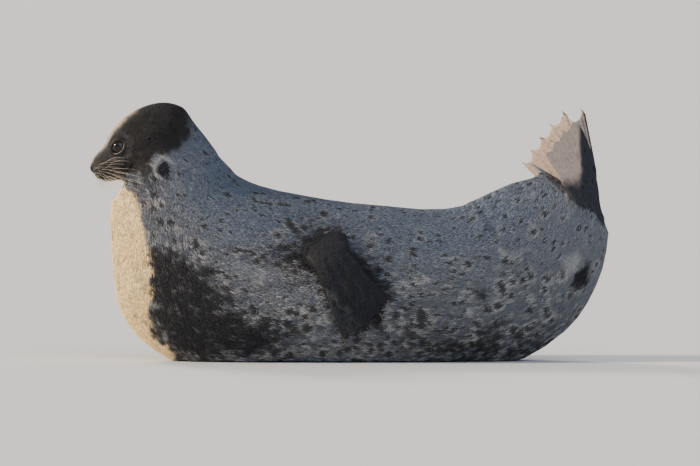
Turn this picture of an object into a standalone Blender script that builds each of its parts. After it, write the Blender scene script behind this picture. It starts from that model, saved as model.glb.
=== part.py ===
"""A harbour seal at rest on its belly, head and hind flippers raised, at life size.

Metres, +Z up. The snout points to -X, the animal's left is -Y, and it lies on z = 0. The origin is
the middle of the flat of the belly.
"""

import math
from collections import namedtuple

import bmesh
import bpy
import numpy as np
from mathutils import Matrix, Vector
from mathutils.bvhtree import BVHTree

OBJECT_NAME = "harbour_seal"
GAP = 0.0003  # clearance between neighbouring solids

# Body: ribs run from the back line (top) to the belly line (low), and tilt with the animal's bend.
Rib = namedtuple("Rib", "top_x top_z low_x low_z half_width")
RIBS = {
    "gullet": Rib(-0.450, 0.500, -0.508, 0.430, 0.041),
    "throat": Rib(-0.438, 0.545, -0.540, 0.398, 0.072),
    "jowl": Rib(-0.407, 0.568, -0.554, 0.362, 0.089),
    "nape": Rib(-0.366, 0.558, -0.556, 0.316, 0.103),
    "collar": Rib(-0.324, 0.508, -0.553, 0.258, 0.117),
    "scruff": Rib(-0.285, 0.455, -0.551, 0.198, 0.132),
    "shoulder": Rib(-0.244, 0.420, -0.543, 0.138, 0.147),
    "breast": Rib(-0.186, 0.401, -0.513, 0.078, 0.161),
    "fore_back": Rib(-0.105, 0.384, -0.448, 0.018, 0.172),
    "armpit": Rib(-0.012, 0.369, -0.330, -0.028, 0.180),
    "mid_back": Rib(0.085, 0.360, -0.160, -0.032, 0.182),
    "loin": Rib(0.195, 0.352, 0.090, -0.032, 0.173),
    "haunch": Rib(0.264, 0.362, 0.270, -0.026, 0.156),
    "thigh": Rib(0.312, 0.386, 0.384, -0.004, 0.137),
    "knee": Rib(0.350, 0.404, 0.461, 0.036, 0.121),
    "rump": Rib(0.380, 0.415, 0.528, 0.096, 0.107),
    "crus": Rib(0.408, 0.421, 0.576, 0.180, 0.091),
    "heel": Rib(0.434, 0.428, 0.597, 0.262, 0.075),
    "tail_root": Rib(0.458, 0.430, 0.594, 0.325, 0.059),
    "body_end": Rib(0.484, 0.418, 0.574, 0.362, 0.037),
}
BODY_NODES = {
    "neck": ("gullet", "scruff", 0.021),
    "chest": ("scruff", "mid_back", 0.030),
    "belly": ("mid_back", "haunch", 0.030),
    "hips": ("haunch", "body_end", 0.027),
}  # first rib, last rib, spacing of the rings between them
BODY_POINTS = 28  # points round a rib
BODY_WAIST = 0.46  # height of the widest point, as a share of the rib
BACK_FULLNESS = 2.0  # superellipse power of the upper half
BELLY_FULLNESS = 2.2  # and of the lower half, which spreads on the ground

# Head: stations lie behind the nose tip along the head's own axis.
HeadRib = namedtuple("HeadRib", "behind top low half_width")
HEAD_RIBS = (
    HeadRib(0.002, 0.013, -0.015, 0.023),
    HeadRib(0.007, 0.021, -0.026, 0.035),
    HeadRib(0.017, 0.029, -0.037, 0.0440),
    HeadRib(0.034, 0.036, -0.0455, 0.0500),
    HeadRib(0.054, 0.045, -0.051, 0.0545),
    HeadRib(0.078, 0.059, -0.056, 0.063),
    HeadRib(0.105, 0.072, -0.062, 0.073),
    HeadRib(0.138, 0.0795, -0.068, 0.0815),
    HeadRib(0.172, 0.079, -0.071, 0.084),
    HeadRib(0.206, 0.072, -0.067, 0.080),
    HeadRib(0.238, 0.055, -0.050, 0.064),
    HeadRib(0.260, 0.030, -0.026, 0.040),
)
HEAD_POINTS = 28
HEAD_RINGS = 24
HEAD_FULLNESS = 2.15
NOSE_TIP = Vector((-0.597, 0.0, 0.438))
HEAD_PITCH = math.radians(28)  # snout down
HEAD_YAW = math.radians(7)  # snout to the animal's left
NECK_PIVOT = Vector((-0.40, 0.0, 0.0))

# Swellings and hollows of the head: place behind, above and beside the nose tip, reach and rise.
Swell = namedtuple("Swell", "behind above beside reach rise")
HEAD_SWELLS = {
    "whisker_pad": Swell(0.024, -0.011, 0.038, 0.023, 0.0055),
    "chin": Swell(0.020, -0.038, 0.0, 0.016, 0.0030),
    "stop": Swell(0.056, 0.046, 0.0, 0.022, -0.0030),
    "tear_hollow": Swell(0.060, 0.016, 0.050, 0.018, -0.0035),
    "brow": Swell(0.088, 0.055, 0.036, 0.020, 0.0030),
    "cheek": Swell(0.118, -0.028, 0.068, 0.042, 0.0065),
    "temple": Swell(0.130, 0.040, 0.066, 0.026, -0.0025),
}
Place = namedtuple("Place", "behind above beside")
EYE_RADIUS = 0.0195
EYE_PLACE = Place(0.0800, 0.0240, 0.0425)
NOSE_PAD_PLACE = Place(0.0085, 0.0050, 0.0)
NOSE_PAD_SIZE = Vector((0.0125, 0.0215, 0.0140))  # half its depth, width and height
BALL_SEGMENTS = 14
BALL_RINGS = 9

# Flippers: a fan of five digits on a flat wrist, whose root goes into the body.
Flipper = namedtuple(
    "Flipper",
    "root_length root_half wrist_half root_thick wrist_thick fan lengths claw_length claw_radius",
)
HindPose = namedtuple("HindPose", "wrist heading splay side")  # splay turns the leading edge outwards
DIGIT_PLACES = (-0.90, -0.45, 0.0, 0.45, 0.90)  # across the fan, from trailing to leading edge
DIGIT_PITCH = DIGIT_PLACES[1] - DIGIT_PLACES[0]
WEB_NOTCH = 0.045  # how far the web falls short of the digits, as a share of their length
EDGE_THICK = 0.0050
EDGE_ROUND = 2.6  # superellipse power of the edges, seen along the flipper
EDGE_BLUNT = 0.35  # thickness left at the very edge, as a share of the middle's
ROOT_SHARES = (-1.0, -0.66, -0.33)  # places of the root's rows, as shares of its length
DIGIT_RISE = 0.0015  # how far a digit stands above its webs at the tip
CLAW_SUNK = 0.010  # length of a claw inside its digit
CLAW_DROOP = 0.004
CLAW_SIDES = 6
FLIPPER_COLUMNS = 14
FLIPPER_ROWS = 7
FORE_WRIST_X = -0.038
FORE_WRIST_Z = 0.235
FORE_LEAN = math.radians(30)  # from straight down, towards the tail
FORE_STANDOFF = 0.011  # between the flank and the middle of a fore flipper's tip
FORE_ROOT_SINK = 0.60  # depth of the root's end under the flank, as a share of its length
FORE = Flipper(0.070, 0.052, 0.047, 0.046, 0.027, math.radians(9),
               (0.142, 0.157, 0.167, 0.171, 0.168), 0.020, 0.0034)
HIND = Flipper(0.045, 0.027, 0.034, 0.044, 0.034, math.radians(16),
               (0.222, 0.206, 0.193, 0.181, 0.170), 0.006, 0.0028)
HIND_POSES = {
    "hind_flipper_left": HindPose(Vector((0.5540, -0.036, 0.350)), math.radians(107),
                                  math.radians(44), -1),
    "hind_flipper_right": HindPose(Vector((0.5480, 0.036, 0.350)), math.radians(121),
                                   math.radians(28), 1),
}
HIND_OUTWARD = 0.10  # sideways lean, as a share of the length
HIND_CURL = 0.016  # how far the tips bend towards the sole

# Tail: a flat tongue that curls up over the rump.
TAIL_START = Vector((0.535, 0.0, 0.375))
TAIL_BEND = Vector((0.452, 0.0, 0.432))
TAIL_TIP = Vector((0.410, 0.0, 0.462))
TAIL_HALF_WIDTH = 0.026
TAIL_THICK = 0.024
TAIL_RINGS = 11
TAIL_POINTS = 16


def smooth_track(stations, values):
    """A curve through values at uneven stations, with slopes that blend the spans on both sides."""
    stations = np.asarray(stations, float)
    values = np.asarray(values, float)
    steps = np.diff(stations)
    chords = np.diff(values, axis=0) / steps[:, None]
    slopes = np.vstack((chords[:1], chords))
    before, after = steps[:-1, None], steps[1:, None]
    slopes[1:-1] = (chords[:-1] * after + chords[1:] * before) / (before + after)

    def at(s):
        span = int(np.clip(np.searchsorted(stations, s, "right") - 1, 0, len(steps) - 1))
        step = steps[span]
        u = (s - stations[span]) / step
        start, end = values[span], values[span + 1]
        leaving, arriving = slopes[span] * step, slopes[span + 1] * step
        rest = 1.0 - u
        return (start * (1 + 2 * u) * rest**2 + leaving * u * rest**2
                + end * u**2 * (3 - 2 * u) - arriving * u**2 * rest)

    return at


def rounded(value, power):
    """A sine or cosine drawn out towards the corners of a superellipse."""
    return math.copysign(abs(value) ** (2.0 / power), value)


def section(points, waist, upper_power, lower_power):
    """Points round a section: each is its share of the half width and its height from 0 to 1."""
    ring = []
    for k in range(points):
        angle = 2.0 * math.pi * k / points
        power = upper_power if math.sin(angle) > 0 else lower_power
        rise = rounded(math.sin(angle), power)
        room = 1.0 - waist if rise > 0 else waist
        ring.append((rounded(math.cos(angle), power), waist + rise * room))
    return ring


def loft(rings):
    """A closed skin over rings of equal length, split the same way wherever its rings are used."""
    mesh = bmesh.new()
    rows = [[mesh.verts.new(point) for point in ring] for ring in rings]
    count = len(rows[0])
    for row, following in zip(rows, rows[1:]):
        for k in range(count):
            near = (k + 1) % count
            mesh.faces.new((row[k], row[near], following[near], following[k]))
    caps = [mesh.faces.new(rows[0]), mesh.faces.new(rows[-1])]
    bmesh.ops.poke(mesh, faces=caps)
    bmesh.ops.recalc_face_normals(mesh, faces=mesh.faces)
    bmesh.ops.triangulate(mesh, faces=mesh.faces, quad_method="FIXED")
    return mesh


def material(name, colour, roughness):
    finish = bpy.data.materials.new(name)
    finish.use_nodes = True
    shader = finish.node_tree.nodes["Principled BSDF"]
    shader.inputs["Base Color"].default_value = (*colour, 1.0)
    shader.inputs["Roughness"].default_value = roughness
    shader.inputs["Metallic"].default_value = 0.0
    return finish


def add_object(name, mesh, collection, finish=None):
    """Puts a bmesh into the scene as a smooth-shaded object."""
    data = bpy.data.meshes.new(name)
    mesh.to_mesh(data)
    mesh.free()
    data.shade_smooth()
    piece = bpy.data.objects.new(name, data)
    collection.objects.link(piece)
    if finish:
        data.materials.append(finish)
    else:
        piece.hide_render = True
        piece.display_type = "WIRE"
    return piece


def swollen(mesh, amount):
    """A copy of a bmesh with its faces moved outwards."""
    copy = mesh.copy()
    copy.normal_update()
    for vert in copy.verts:
        vert.co += vert.normal * amount
    return copy


def cut(piece, cutter):
    trim = piece.modifiers.new("clear_of_" + cutter.name, "BOOLEAN")
    trim.operation = "DIFFERENCE"
    trim.solver = "EXACT"
    trim.object = cutter


# ---- body ----

def rib_stations():
    """The distance of each rib along the middle of the body."""
    middles = [Vector((r.top_x + r.low_x, 0, r.top_z + r.low_z)) / 2 for r in RIBS.values()]
    stations = [0.0]
    for here, there in zip(middles, middles[1:]):
        stations.append(stations[-1] + (there - here).length)
    return dict(zip(RIBS, stations))


def body_ring(track, station, shift=0.0):
    """The ring at a station, moved tailwards by shift, with its underside pressed flat on the floor."""
    top_x, top_z, low_x, low_z, half_width = track(station)
    top, low = Vector((top_x, 0, top_z)), Vector((low_x, 0, low_z))
    rib = (top - low).normalized()
    tailwards = Vector((rib.z, 0, -rib.x)) * shift
    ring = []
    for beside, height in section(BODY_POINTS, BODY_WAIST, BACK_FULLNESS, BELLY_FULLNESS):
        point = low.lerp(top, height) + tailwards
        ring.append(Vector((point.x, beside * half_width, max(point.z, 0.0))))
    return ring


def ring_stations(start, end, spacing):
    """Evenly spaced stations from one rib to another."""
    return list(np.linspace(start, end, round((end - start) / spacing) + 1))


def body_mesh(track, stations, shift=0.0):
    """A length of the body, its first ring moved tailwards by shift to clear the length before."""
    rings = [body_ring(track, s, 0.0 if k else shift) for k, s in enumerate(stations)]
    return loft(rings)


# ---- head ----

def head_frame():
    """Carries (behind, beside, above) of the nose tip into the world."""
    backward = Vector((math.cos(HEAD_PITCH), 0, math.sin(HEAD_PITCH)))
    right = Vector((0, 1, 0))
    up = Vector((-math.sin(HEAD_PITCH), 0, math.cos(HEAD_PITCH)))
    frame = Matrix((backward, right, up)).transposed().to_4x4()
    frame.translation = NOSE_TIP
    turn = Matrix.Rotation(HEAD_YAW, 4, "Z")
    to_pivot = Matrix.Translation(NECK_PIVOT)
    return to_pivot @ turn @ to_pivot.inverted() @ frame


def place_of(swell, side=1):
    return Vector((swell.behind, swell.beside * side, swell.above))


def sides_of(swell):
    return (1, -1) if swell.beside else (1,)


def head_mesh():
    """The head in its own frame: a loft from the snout to the nape, then its swellings."""
    track = smooth_track([r.behind for r in HEAD_RIBS], [r[1:] for r in HEAD_RIBS])
    first, last = HEAD_RIBS[0].behind, HEAD_RIBS[-1].behind
    outline = section(HEAD_POINTS, 0.5, HEAD_FULLNESS, HEAD_FULLNESS)
    rings = []
    for k in range(HEAD_RINGS):
        share = k / (HEAD_RINGS - 1)
        behind = first + (last - first) * (0.5 * share + 0.5 * share**1.8)
        top, low, half_width = track(behind)
        rings.append([Vector((behind, half_width * beside, low + (top - low) * height))
                      for beside, height in outline])
    mesh = loft(rings)
    mesh.normal_update()
    moves = {}
    for vert in mesh.verts:
        rise = 0.0
        for swell in HEAD_SWELLS.values():
            for side in sides_of(swell):
                distance = (vert.co - place_of(swell, side)).length
                rise += swell.rise * math.exp(-(distance / swell.reach) ** 2)
        moves[vert] = vert.normal * rise
    for vert, move in moves.items():
        vert.co += move
    return mesh


def ball(radius, centre, squash=Vector((1, 1, 1))):
    mesh = bmesh.new()
    bmesh.ops.create_uvsphere(mesh, u_segments=BALL_SEGMENTS, v_segments=BALL_RINGS, radius=radius)
    for vert in mesh.verts:
        vert.co = vert.co * squash + centre
    return mesh


# ---- flippers ----

def digit_length(lengths, across):
    """Length of the fan at a place across it: digits stand out, webs between them fall short."""
    reach = float(np.interp(across, DIGIT_PLACES, lengths))
    gap_share = (across - DIGIT_PLACES[0]) / DIGIT_PITCH
    return reach * (1.0 - WEB_NOTCH * math.sin(math.pi * gap_share) ** 2)


def flipper_rows(shape):
    """Rows of (along, across, outer height) pairs from the root, in the flipper's own flat frame."""
    rows = []
    columns = np.linspace(-1.0, 1.0, FLIPPER_COLUMNS + 1)
    for share in (*ROOT_SHARES, *np.linspace(0.0, 1.0, FLIPPER_ROWS)):
        row = []
        for across in columns:
            edge = math.sqrt(max(0.0, 1.0 - abs(across) ** EDGE_ROUND))
            if share < 0:
                half = shape.wrist_half + (shape.root_half - shape.wrist_half) * -share
                thick = shape.wrist_thick + (shape.root_thick - shape.wrist_thick) * -share
                blunt = EDGE_BLUNT * (1.0 + share)
                row.append((shape.root_length * share, half * across,
                            thick * (blunt + (1.0 - blunt) * edge) / 2))
                continue
            length = digit_length(shape.lengths, across)
            angle = shape.fan * across
            tip = Vector((length * math.cos(angle), shape.wrist_half * across + length * math.sin(angle)))
            base = Vector((0.0, shape.wrist_half * across))
            place = base.lerp(tip, share)
            ridge = math.cos(math.pi * (across - DIGIT_PLACES[0]) / DIGIT_PITCH) ** 2
            body = EDGE_THICK + (shape.wrist_thick - EDGE_THICK) * (1.0 - share) ** 1.25
            thick = body * (0.80 + 0.20 * ridge) * (EDGE_BLUNT + (1.0 - EDGE_BLUNT) * edge)
            thick += DIGIT_RISE * ridge * share
            row.append((place.x, place.y, max(thick, EDGE_THICK * 0.7) / 2))
        rows.append(row)
    return rows


def flipper_mesh(shape, to_world):
    """A flipper as a flat loft: each ring goes out along the outer face and back along the inner."""
    mesh = bmesh.new()
    rings = []
    for row in flipper_rows(shape):
        outer = [mesh.verts.new(to_world(x, y, h)) for x, y, h in row]
        inner = [mesh.verts.new(to_world(x, y, -h)) for x, y, h in row]
        rings.append((outer, inner))
    for (outer, inner), (next_outer, next_inner) in zip(rings, rings[1:]):
        for k in range(FLIPPER_COLUMNS):
            mesh.faces.new((outer[k], outer[k + 1], next_outer[k + 1], next_outer[k]))
            mesh.faces.new((inner[k + 1], inner[k], next_inner[k], next_inner[k + 1]))
        for k in (0, FLIPPER_COLUMNS):
            mesh.faces.new((outer[k], next_outer[k], next_inner[k], inner[k]))
    for outer, inner in (rings[0], rings[-1]):
        for k in range(FLIPPER_COLUMNS):
            mesh.faces.new((outer[k], inner[k], inner[k + 1], outer[k + 1]))
    bmesh.ops.remove_doubles(mesh, verts=mesh.verts, dist=1e-6)
    bmesh.ops.recalc_face_normals(mesh, faces=mesh.faces)
    return mesh


def claws_mesh(shape, to_world):
    """Five tapering claws, each starting inside the end of its digit."""
    mesh = bmesh.new()
    for place, length in zip(DIGIT_PLACES, shape.lengths):
        angle = shape.fan * place
        heading = Vector((math.cos(angle), math.sin(angle)))
        knuckle = Vector((0.0, shape.wrist_half * place)) + heading * (length - CLAW_SUNK)
        rings = []
        for share in (0.0, 0.3, 0.65, 1.0):
            centre = knuckle + heading * (CLAW_SUNK + shape.claw_length) * share
            radius = shape.claw_radius * (1.0 - 0.80 * share**1.6)
            droop = -CLAW_DROOP * share**2
            rings.append([
                to_world(centre.x, centre.y + radius * math.cos(turn), droop + radius * math.sin(turn))
                for turn in (2.0 * math.pi * k / CLAW_SIDES for k in range(CLAW_SIDES))
            ])
        claw = loft(rings)
        data = bpy.data.meshes.new("claw")
        claw.to_mesh(data)
        claw.free()
        mesh.from_mesh(data)
        bpy.data.meshes.remove(data)
    return mesh


def fore_placer(body_tree, side):
    """Lays a fore flipper along the flank on one side (-1 left, 1 right)."""
    along = Vector((math.sin(FORE_LEAN), -math.cos(FORE_LEAN)))
    leading = Vector((-math.cos(FORE_LEAN), -math.sin(FORE_LEAN)))
    span = max(FORE.lengths)

    def to_world(x, y, height):
        flat = Vector((FORE_WRIST_X, FORE_WRIST_Z)) + along * x + leading * y
        probe = Vector((flat.x, side * 0.5, flat.y))
        hit = body_tree.ray_cast(probe, Vector((0, -side, 0)))[0]
        flank = abs(hit.y)
        clear = max(0.0, min(1.0, x / span))
        sunk = max(0.0, -x) ** 2 * FORE_ROOT_SINK / FORE.root_length
        lift = FORE.wrist_thick / 2 * (1.0 - clear) + FORE_STANDOFF * clear - sunk
        return Vector((flat.x, side * (flank + lift + height), flat.y))

    return to_world


def hind_placer(pose):
    """Raises a hind flipper from its ankle; its sole faces the other flipper."""
    lean = Vector((math.cos(pose.heading), pose.side * HIND_OUTWARD, math.sin(pose.heading)))
    along = lean.normalized()
    leading = Vector((-math.sin(pose.heading), 0, math.cos(pose.heading)))
    leading = Matrix.Rotation(-pose.side * pose.splay, 3, along) @ leading
    outward = leading.cross(along).normalized()
    outward = outward if outward.y * pose.side > 0 else -outward
    span = max(HIND.lengths)

    def to_world(x, y, height):
        curl = -HIND_CURL * max(0.0, x / span) ** 2
        return pose.wrist + along * x + leading * y + outward * (height + curl)

    return to_world


def add_flipper(name, shape, to_world, body_space, places, finish):
    """A flipper with its claws joined on, trimmed where its root meets the body."""
    flipper = add_object(name, flipper_mesh(shape, to_world), places["parts"], finish)
    claws = add_object(name + "_claws", claws_mesh(shape, to_world), places["cutters"])
    grow = flipper.modifiers.new("claws", "BOOLEAN")
    grow.operation = "UNION"
    grow.solver = "EXACT"
    grow.object = claws
    cut(flipper, body_space)


def tail_mesh():
    """A flat tongue lofted along a bent line."""
    line = smooth_track((0.0, 0.6, 1.0), [TAIL_START, TAIL_BEND, TAIL_TIP])
    rings = []
    for share in np.linspace(0.0, 1.0, TAIL_RINGS):
        centre = Vector(line(share))
        ahead = Vector(line(min(1.0, share + 0.02))) - Vector(line(max(0.0, share - 0.02)))
        up = Vector((0, 1, 0)).cross(ahead).normalized()
        taper = math.sqrt(max(0.04, 1.0 - share**3.0))
        half_width = TAIL_HALF_WIDTH * (1.0 - 0.25 * share) * taper
        half_thick = TAIL_THICK / 2 * (1.0 - 0.45 * share) * taper
        rings.append([
            centre + Vector((0, half_width * math.cos(turn), 0)) + up * half_thick * math.sin(turn)
            for turn in (2.0 * math.pi * k / TAIL_POINTS for k in range(TAIL_POINTS))
        ])
    return loft(rings)


def main():
    for old in list(bpy.data.objects):
        bpy.data.objects.remove(old, do_unlink=True)
    places = {}
    for role, name in (("parts", OBJECT_NAME), ("cutters", "cutters")):
        places[role] = bpy.data.collections.new(name)
        bpy.context.scene.collection.children.link(places[role])

    coat = material("spotted_coat", (0.30, 0.29, 0.27), 0.75)
    flipper_coat = material("flipper_coat", (0.10, 0.095, 0.09), 0.7)
    wet_eye = material("eye", (0.012, 0.010, 0.009), 0.08)
    leather = material("nose_leather", (0.025, 0.022, 0.021), 0.45)

    # the body, whole for cutting, then in lengths
    stations = rib_stations()
    track = smooth_track(list(stations.values()), [tuple(rib) for rib in RIBS.values()])
    lengths = {
        name: ring_stations(stations[start], stations[end], spacing)
        for name, (start, end, spacing) in BODY_NODES.items()
    }
    whole = body_mesh(track, sorted({s for length in lengths.values() for s in length}))
    body_tree = BVHTree.FromBMesh(whole)
    body_space = add_object("body_space", swollen(whole, GAP), places["cutters"])
    whole.free()
    nodes = {}
    for name, length in lengths.items():
        mesh = body_mesh(track, length, GAP if nodes else 0.0)
        nodes[name] = add_object(name, mesh, places["parts"], coat)

    # the head with its eyes and nose
    frame = head_frame()
    head = head_mesh()
    head.transform(frame)
    head_space = add_object("head_space", swollen(head, GAP), places["cutters"])
    head_node = add_object("head", head, places["parts"], coat)
    cut(nodes["neck"], head_space)
    for name, side in (("eye_left", -1), ("eye_right", 1)):
        eye = ball(EYE_RADIUS, place_of(EYE_PLACE, side))
        eye.transform(frame)
        socket = add_object(name + "_socket", swollen(eye, GAP), places["cutters"])
        add_object(name, eye, places["parts"], wet_eye)
        cut(head_node, socket)
    pad = ball(1.0, place_of(NOSE_PAD_PLACE), NOSE_PAD_SIZE)
    pad.transform(frame)
    nose = add_object("nose", pad, places["parts"], leather)
    cut(nose, head_space)

    # limbs and tail
    for name, side in (("fore_flipper_left", -1), ("fore_flipper_right", 1)):
        add_flipper(name, FORE, fore_placer(body_tree, side), body_space, places, flipper_coat)
    for name, pose in HIND_POSES.items():
        add_flipper(name, HIND, hind_placer(pose), body_space, places, flipper_coat)
    tail = add_object("tail", tail_mesh(), places["parts"], coat)
    cut(tail, body_space)


main()
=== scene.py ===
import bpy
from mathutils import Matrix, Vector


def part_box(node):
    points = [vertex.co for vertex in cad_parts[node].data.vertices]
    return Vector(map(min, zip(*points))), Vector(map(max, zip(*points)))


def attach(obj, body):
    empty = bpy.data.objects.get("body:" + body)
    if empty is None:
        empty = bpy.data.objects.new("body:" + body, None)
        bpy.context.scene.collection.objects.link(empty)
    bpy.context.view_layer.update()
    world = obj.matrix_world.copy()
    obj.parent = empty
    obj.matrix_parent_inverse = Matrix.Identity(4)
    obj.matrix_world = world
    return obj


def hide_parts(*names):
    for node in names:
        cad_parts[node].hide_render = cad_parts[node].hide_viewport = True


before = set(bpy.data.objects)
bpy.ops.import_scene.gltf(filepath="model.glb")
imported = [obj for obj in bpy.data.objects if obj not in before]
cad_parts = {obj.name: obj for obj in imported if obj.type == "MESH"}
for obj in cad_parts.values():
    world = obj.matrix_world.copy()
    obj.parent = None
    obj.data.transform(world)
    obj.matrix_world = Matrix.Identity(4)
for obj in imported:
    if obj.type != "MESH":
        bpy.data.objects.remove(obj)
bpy.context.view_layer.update()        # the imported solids, which stay where they are

import math
import time
from contextlib import contextmanager

import bpy
import numpy as np
from mathutils import Matrix, Vector
from mathutils.bvhtree import BVHTree

startTime = time.time()
rng = np.random.default_rng(20)


def note(words):
    print(f"[seal] {time.time() - startTime:6.1f} s  {words}")


# small helpers for meshes and selections

def pickOnly(*things):
    bpy.ops.object.select_all(action="DESELECT")
    for thing in things:
        thing.select_set(True)
    bpy.context.view_layer.objects.active = things[0]


def applyAll(thing):
    pickOnly(thing)
    for name in [m.name for m in thing.modifiers]:
        bpy.ops.object.modifier_apply(modifier=name)


@contextmanager
def editing(thing):
    # edit mode with everything selected
    pickOnly(thing)
    bpy.ops.object.mode_set(mode="EDIT")
    bpy.ops.mesh.select_all(action="SELECT")
    yield
    bpy.ops.object.mode_set(mode="OBJECT")


def rowsOf(items, name, width=3, kind=np.float32):
    # one property of every vertex, loop or triangle
    flat = np.empty(len(items) * width, kind)
    items.foreach_get(name, flat)
    return flat.reshape(-1, width)


def pointsOf(mesh):
    return rowsOf(mesh.vertices, "co").astype(float)


def normalsOf(mesh):
    return rowsOf(mesh.vertices, "normal").astype(float)


def setPoints(mesh, points):
    mesh.vertices.foreach_set("co", points.astype(np.float32).ravel())
    mesh.update()


def setAttribute(mesh, name, values):
    kind, slot = ("FLOAT_VECTOR", "vector") if values.ndim == 2 else ("FLOAT", "value")
    made = mesh.attributes.new(name, kind, "POINT")
    made.data.foreach_set(slot, values.astype(np.float32).ravel())


def smoothStep(low, high, value):
    t = np.clip((value - low) / (high - low), 0.0, 1.0)
    return t * t * (3.0 - 2.0 * t)


def hill(distance, reach):
    # 1 at no distance, fading to nothing past its reach
    return np.exp(-(distance / reach) ** 2)


def ridge(distance, shape):
    # a rounded ridge along a line: its height, its distance from the line and its width
    size, place, width = shape
    return size * hill(distance - place, width)


def unit(rows):
    return rows / np.maximum(np.linalg.norm(rows, axis=-1, keepdims=True), 1e-12)


def copyOf(source):
    copy = source.copy()
    copy.data = source.data.copy()
    bpy.context.scene.collection.objects.link(copy)
    return copy


def placed(name, data):
    thing = bpy.data.objects.new(name, data)
    bpy.context.scene.collection.objects.link(thing)
    return thing


def insideBox(name, points, margin):
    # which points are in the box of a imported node, widened by the margin
    low, high = (np.array(corner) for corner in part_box(name))
    return np.all((points > low - margin) & (points < high + margin), axis=1)


# the head's own axes: x behind the nose tip, y towards the animal's right, z above

headSet = {
    "noseTip": (-0.597, 0.0, 0.438),
    "pitch": 28,              # degrees, snout down
    "yaw": 7,                 # degrees, snout to the animal's left
    "neckPivot": (-0.40, 0.0, 0.0),
    "eyeRadius": 0.0195,
    "eyePlace": (0.0800, 0.0425, 0.0240),
    "backOfSkull": (0.27, 0.23),      # the head fades into the neck between these
    "throatLine": -0.068,             # and below this height
}


def headAxes():
    pitch = math.radians(headSet["pitch"])
    backward = Vector((math.cos(pitch), 0, math.sin(pitch)))
    up = Vector((-math.sin(pitch), 0, math.cos(pitch)))
    axes = Matrix((backward, Vector((0, 1, 0)), up)).transposed().to_4x4()
    axes.translation = Vector(headSet["noseTip"])
    pivot = Matrix.Translation(Vector(headSet["neckPivot"]))
    turn = Matrix.Rotation(math.radians(headSet["yaw"]), 4, "Z")
    return pivot @ turn @ pivot.inverted() @ axes


headToWorld = headAxes()
worldToHead = headToWorld.inverted()


def carried(matrix, points):
    m = np.array(matrix)
    return points @ m[:3, :3].T + m[:3, 3]


def turned(matrix, rows):
    return rows @ np.array(matrix)[:3, :3].T


def inHead(points):
    return carried(worldToHead, points)


def oneSide(h):
    # both sides of the head laid over the animal's right
    return np.stack((h[:, 0], np.abs(h[:, 1]), h[:, 2]), axis=1)


def fromPair(h, place):
    # distance from the nearer of two places, one on each side of the head
    return np.linalg.norm(oneSide(h) - np.array(place), axis=1)


def headShare(points):
    # 1 on the head, 0 on the neck and body
    h = inHead(points)
    floorLine = headSet["throatLine"] + 0.10 * np.maximum(h[:, 0] - 0.10, 0.0)
    ahead = smoothStep(*headSet["backOfSkull"], h[:, 0])
    above = smoothStep(floorLine - 0.01, floorLine + 0.02, h[:, 2])
    return ahead * above * smoothStep(0.13, 0.11, np.abs(h[:, 1]))


# the skin: one surface over all the nodes of flesh

skinSet = {
    "overlap": 0.0006,        # closes the thin cuts between the nodes
    "voxel": 0.0026,
    "coatDepth": 0.0022,      # the skin lies this far inside the solids,
    "limbSaving": 0.6,        # less this share of it on the flippers
    "lowest": 0.0004,         # clear of the floor
    "limbTipFrom": -0.2,      # fore flippers lie behind this x
    "keepShare": 0.26,        # share of the faces left where the surface is plain
}
fleshNodes = ["head", "neck", "chest", "belly", "hips", "tail", "nose",
              "fore_flipper_left", "fore_flipper_right",
              "hind_flipper_left", "hind_flipper_right"]
flipperNodes = [n for n in fleshNodes if "flipper" in n]


def copyOfNode(name):
    # a merged, slightly fattened copy, so that the copies overlap at the cuts
    copy = copyOf(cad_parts[name])
    copy.parent = None
    for key in list(copy.keys()):
        if key.startswith("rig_"):
            del copy[key]
    copy.name = "copy_" + name
    copy.data.materials.clear()
    with editing(copy):
        bpy.ops.mesh.remove_doubles(threshold=0.00001)
        bpy.ops.transform.shrink_fatten(value=skinSet["overlap"])
    return copy


def makeSkin():
    copies = [copyOfNode(name) for name in fleshNodes + ["eye_left", "eye_right"]]
    pickOnly(*copies)
    bpy.ops.object.join()
    skin = bpy.context.view_layer.objects.active
    skin.name = "seal_skin"
    skin.data.name = "seal_skin"
    remesh = skin.modifiers.new("oneSurface", "REMESH")
    remesh.mode = "VOXEL"
    remesh.voxel_size = skinSet["voxel"]
    applyAll(skin)
    note(f"one surface, {len(skin.data.vertices)} points")
    return skin


def keepLargest(thing):
    # drops the small closed shells inside the cuts
    with editing(thing):
        bpy.ops.mesh.separate(type="LOOSE")
    shells = sorted(bpy.context.selected_objects, key=lambda o: len(o.data.vertices))
    for scrap in shells[:-1]:
        bpy.data.objects.remove(scrap)
    kept = shells[-1]
    kept.name = kept.data.name = "seal_skin"
    return kept


def paintGroup(thing, name, weights):
    # a vertex group whose weights are rounded to tenths
    group = thing.vertex_groups.new(name=name)
    levels = np.round(np.clip(weights, 0, 1) * 10).astype(int)
    for level in range(1, 11):
        chosen = np.nonzero(levels == level)[0]
        if len(chosen):
            group.add(chosen.tolist(), level / 10, "REPLACE")


def distanceTo(name, points, reach):
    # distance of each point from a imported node, up to reach
    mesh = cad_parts[name].data
    tree = BVHTree.FromPolygons([v.co for v in mesh.vertices], [p.vertices for p in mesh.polygons])
    found = np.full(len(points), reach)
    for k in np.nonzero(insideBox(name, points, reach))[0]:
        hit = tree.find_nearest(Vector(points[k]), reach)
        if hit[0] is not None:
            found[k] = hit[3]
    return found


blendSet = {
    "reach": 0.040,           # how far the blends between the nodes run
    # rounds of smoothing
    "even": 12,               # all over
    "head": 60,
    "facets": 110,            # on the trunk
    "crease": 240,            # at the throat
    "roots": 70,              # where the limbs leave the body
    # distances from a node over which its own area fades out
    "trunkEdge": (0.004, 0.001),
    "limbEdge": (0.012, 0.004),
    "headEdge": (0.003, 0.001),
}


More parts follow.
